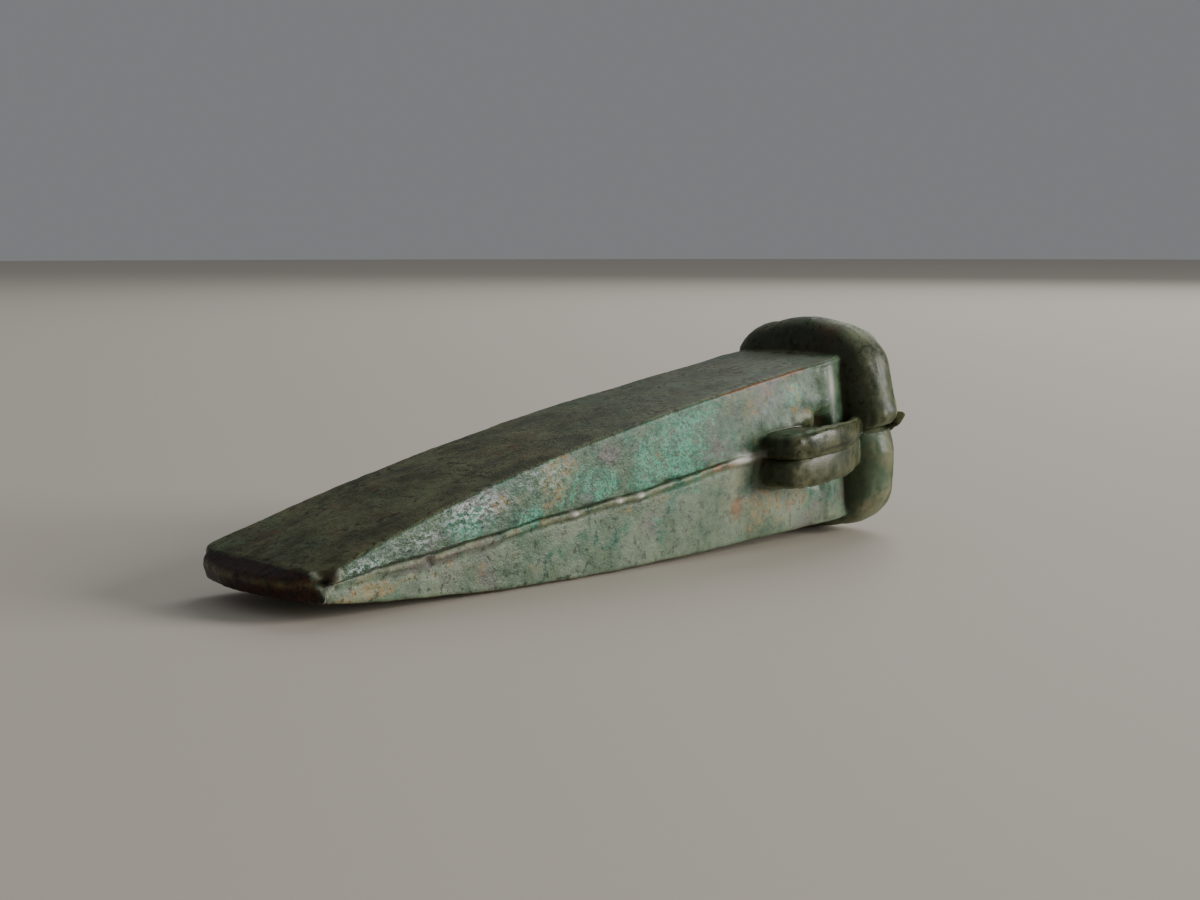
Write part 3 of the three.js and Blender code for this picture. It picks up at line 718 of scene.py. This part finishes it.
def patina():
    """The axe's one finish: a Principled surface whose colour, roughness and fine relief are
    mixed from noises on the mesh's own millimetres and from its point attributes."""
    material = bpy.data.materials.new("bronze_patina")
    material.use_nodes = True
    tree = material.node_tree
    surface = tree.nodes["Principled BSDF"]
    start = Wire(tree, None)

    def kept(name, output="Fac"):
        """What the mesh keeps on its points under a name."""
        return start.node("ShaderNodeAttribute", {"attribute_name": name}, {}, output)

    own = kept("own", "Vector")

    def cloud(size, seed, detail=4.0, rough=0.55, stretch=(1, 1, 1)):
        """Noise from 0 to 1 in patches of a size in millimetres."""
        placed = own.node("ShaderNodeMapping", {}, {
            "Vector": own, "Location": (seed * 31.7, seed * 17.3, seed * 23.9), "Scale": stretch})
        return own.node("ShaderNodeTexNoise", {}, {
            "Vector": placed, "Scale": 1 / size, "Detail": detail, "Roughness": rough})

    wide, bend, inside, back, below = (
        kept(name) for name in ("wide", "bend", "inside", "back", "below"))
    collar, strap, rim = (kept(name) for name in ("collar", "strap", "rim"))
    teal, tan, lilac, rust, glint, grainy, painted_fill_light = (
        kept(name) for name in ("teal", "tan", "lilac", "rust", "glint", "grainy", "painted_fill_light"))
    flash, cleft, pale_knobs_and_highlight, leaf, reddish, edge, ridge, chipped, lip = (
        kept(name) for name in ("flash", "cleft", "pale_knobs_and_highlight", "leaf", "reddish", "edge", "ridge",
                                "chipped", "lip"))
    patch, mottle = cloud(8, 2, 8, 0.65), cloud(3.0, 3, 8, 0.68)
    speckle, fine = cloud(1.0, 4, 5, 0.6), cloud(0.42, 5, 3, 0.6)

    side = mottle.step(0.36, 0.64).between(*GREEN_SIDE)
    side = side.cover(SAGE, below * (0.2 + 0.5 * patch.step(0.35, 0.65)) * 0.7)
    side = side.cover(LILAC_GREY, (lilac * 0.35 + cloud(10, 8, 8, 0.65)).step(0.56, 0.72) * 0.8)
    side = side.cover(TEAL_STAIN, (teal * 0.3 + cloud(7, 6, 8, 0.7)).step(0.56, 0.7)
                      * speckle.step(0.34, 0.56) * 0.8)
    side = side.cover(MINT, (teal * 0.25 + cloud(4, 7, 8, 0.7)).step(0.62, 0.74)
                      * (fine * 0.5 + speckle * 0.5).step(0.43, 0.55) * 0.82)
    side = side.cover(TAN_CRUST, (tan * 0.3 + cloud(5, 9, 8, 0.7)).step(0.6, 0.74)
                      * speckle.step(0.38, 0.6) * 0.75)
    side = side.cover(RUST_BROWN, mottle.step(0.3, 0.5)
                      * (rust * 0.5 + cloud(4, 15, 8, 0.7)).step(0.66, 0.9) * 0.85)
    side = side.cover(DARK_SPECK, (speckle * 0.6 + cloud(1.6, 10, 8, 0.7) * 0.4).step(0.53, 0.6)
                      * (0.25 + 0.45 * grainy))
    # Painted highlight: pale specks that stand in for the lamp's glints on the rough upper side
    # near the blade.
    sparkle = cloud(0.6, 18, 4, 0.65, (0.55, 1, 1)).step(0.47, 0.6)
    side = side.cover(PAINTED_GLINT, glint * sparkle * 0.72)
    side = side.cover(FLASH_TAN, flash * mottle.step(0.36, 0.6) * 0.6)

    bare = mottle.step(0.36, 0.64).between(*BARE_BRONZE)
    side = side.cover(bare, strap * 0.9)
    side = side.cover(bare, collar * (0.8 - 0.8 * below))
    side = side.cover(patch.step(0.4, 0.6).between(*LOW_COLLAR), collar * below * 0.8)
    # Painted light: pale tan that lightens the loop leg's cast shadow on the side.
    side = side.cover(PAINTED_FILL_TAN, painted_fill_light * mottle.step(0.3, 0.6) * 0.3)
    side = side.cover(RIM_OLIVE, rim * (0.25 + 0.5 * mottle.step(0.3, 0.6)))

    grained = cloud(2.6, 16, 8, 0.7, (0.45, 1, 1))
    # The wide faces' olive: partly their own patina, partly painted shade, darker than the sides as
    # they lie in shade.
    top = (patch * 0.5 + grained * 0.5).step(0.38, 0.62).between(*OLIVE_TOP)
    top = top.cover(TOP_GREEN, cloud(11, 11, 8, 0.7).step(0.5, 0.62) * grained.step(0.4, 0.58)
                    * (0.75 - 0.45 * grainy))
    top = top.cover(TOP_RED, cloud(7, 12, 8, 0.7).step(0.56, 0.68) * speckle.step(0.4, 0.56) * 0.65)
    # Painted sheen: the top is lightened to a grey green towards the mouth.
    top = top.cover(TOP_PAINTED_SHEEN, (1 - grainy) * mottle.step(0.3, 0.6) * 0.6)
    top = top.cover(TOP_PIT, (grained * 0.5 + speckle * 0.5).step(0.52, 0.6) * 0.75)

    # The blunt edge: partly its own dark brown corrosion, partly painted shade, as it faces away
    # from the lamp.
    blunt = speckle.step(0.4, 0.6).between(*BLUNT_BROWN_AND_SHADE)
    blunt = blunt.cover(RIDGE_OLIVE, ridge * mottle.step(0.35, 0.6) * 0.8)
    ragged_edge = (edge + 0.7 * (mottle - 0.5)).step(0.3, 0.7) * edge.step(0.02, 0.2)

    crevice, worn = bend.step(-0.006, -0.035), bend.step(0.008, 0.04)
    fresh = speckle.step(0.4, 0.58)
    colour = side.cover(top, wide)
    # Faces turned to the blade: dark olive, partly patina and partly painted shade.
    colour = colour.cover(top.cover(OLIVE_PATINA_AND_SHADE, 0.72), back * (1 - chipped) * 0.9)
    colour = colour.cover(LEAF_GREEN, leaf * 0.8)
    colour = colour.cover(blunt, ragged_edge * (1 - chipped))
    colour = colour.cover(REDDISH_BROWN, reddish * mottle.step(0.36, 0.6) * 0.8)
    colour = colour.cover(BREAK_BROWN, chipped * (0.6 + 0.3 * fresh))
    colour = colour.cover(BREAK_LIP, lip * (0.5 + 0.5 * fresh))
    colour = colour.cover(CREVICE_EARTH, crevice * 0.85)
    # Earth in the seam together with painted shade of its grooves and of the chip's hollow.
    colour = colour.cover(SEAM_EARTH_AND_SHADE, cleft * 0.9)
    # Pale crust on the knobs and painted highlights at the loop's knob and on the swell.
    colour = colour.cover(PALE_CRUST_AND_HIGHLIGHT, pale_knobs_and_highlight * (0.8 + 0.2 * speckle))
    colour = colour.cover(WORN_EDGE, worn * speckle.step(0.4, 0.6) * (1 - back) * 0.25)
    colour = colour.cover(SOCKET_EARTH, inside * 0.7)

    roughness = (0.4 + 0.22 * (mottle - 0.5) + 0.35 * (speckle - 0.5) + 0.15 * crevice
                 + 0.12 * wide - 0.2 * glint + 0.02 * collar - strap * (0.13 - 0.1 * below))
    relief = (0.5 * cloud(1.1, 17, 3, 0.6) + 0.3 * fine + 0.2 * cloud(0.28, 14, 2, 0.5)) * (
        grainy + 0.8 * glint)
    normal = relief.node("ShaderNodeBump", {}, {"Strength": 0.9, "Distance": 0.0003,
                                                "Height": relief})
    tree.links.new(colour.socket, surface.inputs["Base Color"])
    tree.links.new(roughness.socket, surface.inputs["Roughness"])
    tree.links.new(normal.socket, surface.inputs["Normal"])
    surface.inputs["Metallic"].default_value = 0.0
    surface.inputs["Specular IOR Level"].default_value = 0.25
    return material


axe.data.materials.clear()
axe.data.materials.append(patina())
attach(axe, "root")
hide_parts("axe_head")

# The room: a plain pale floor under a pale sky, a large soft lamp low on the loop's side, as
# from a window, a weaker one higher up beyond the mouth, and the camera a little above the
# floor, before the blade.
FLOOR_RADIUS = 4
FLOOR_CORNERS = 64

floor_mesh = bpy.data.meshes.new("floor")
turn = np.linspace(0, 2 * math.pi, FLOOR_CORNERS + 1)[:-1]
floor_mesh.from_pydata(
    np.stack([FLOOR_RADIUS * np.cos(turn), FLOOR_RADIUS * np.sin(turn), 0 * turn], 1).tolist(),
    [], [list(range(FLOOR_CORNERS))])
floor = bpy.data.objects.new("floor", floor_mesh)
bpy.context.scene.collection.objects.link(floor)
pale = bpy.data.materials.new("pale_floor")
pale.use_nodes = True
pale_surface = pale.node_tree.nodes["Principled BSDF"]
pale_surface.inputs["Base Color"].default_value = (0.68, 0.61, 0.52, 1)
pale_surface.inputs["Roughness"].default_value = 0.7
floor_mesh.materials.append(pale)

sky = bpy.data.worlds.new("pale_sky")
bpy.context.scene.world = sky
sky.use_nodes = True
sky_light = sky.node_tree.nodes["Background"]
sky_light.inputs["Color"].default_value = (0.80, 0.83, 0.86, 1)
sky_light.inputs["Strength"].default_value = 0.25


def soft_lamp(name, place, size, power, colour):
    """A square lamp that faces the middle of the axe."""
    lamp = bpy.data.lights.new(name, "AREA")
    lamp.shape, lamp.size, lamp.energy, lamp.color = "SQUARE", size, power, colour
    holder = bpy.data.objects.new(name, lamp)
    holder.location = place
    away = np.array(place) - np.array([0, 0, 0.02])
    tilt = math.atan2(math.hypot(away[0], away[1]), away[2])
    holder.rotation_euler = (tilt, 0, math.atan2(away[1], away[0]) + math.pi / 2)
    bpy.context.scene.collection.objects.link(holder)


soft_lamp("window", (1.28, -1.38, 0.44), 0.9, 42.0, (1.0, 0.98, 0.95))
soft_lamp("wall", (1.4, 0.6, 1.0), 1.0, 8.5, (0.97, 0.98, 1.0))

camera = bpy.data.cameras.new("camera")
camera.lens, camera.sensor_width, camera.clip_start = 59.88, 36.0, 0.01
eye = bpy.data.objects.new("camera", camera)
eye.location = (-0.21873, -0.23672, 0.05334)
eye.rotation_euler = (math.radians(83.829), math.radians(0.063), math.radians(-43.255))
bpy.context.scene.collection.objects.link(eye)
bpy.context.scene.camera = eye
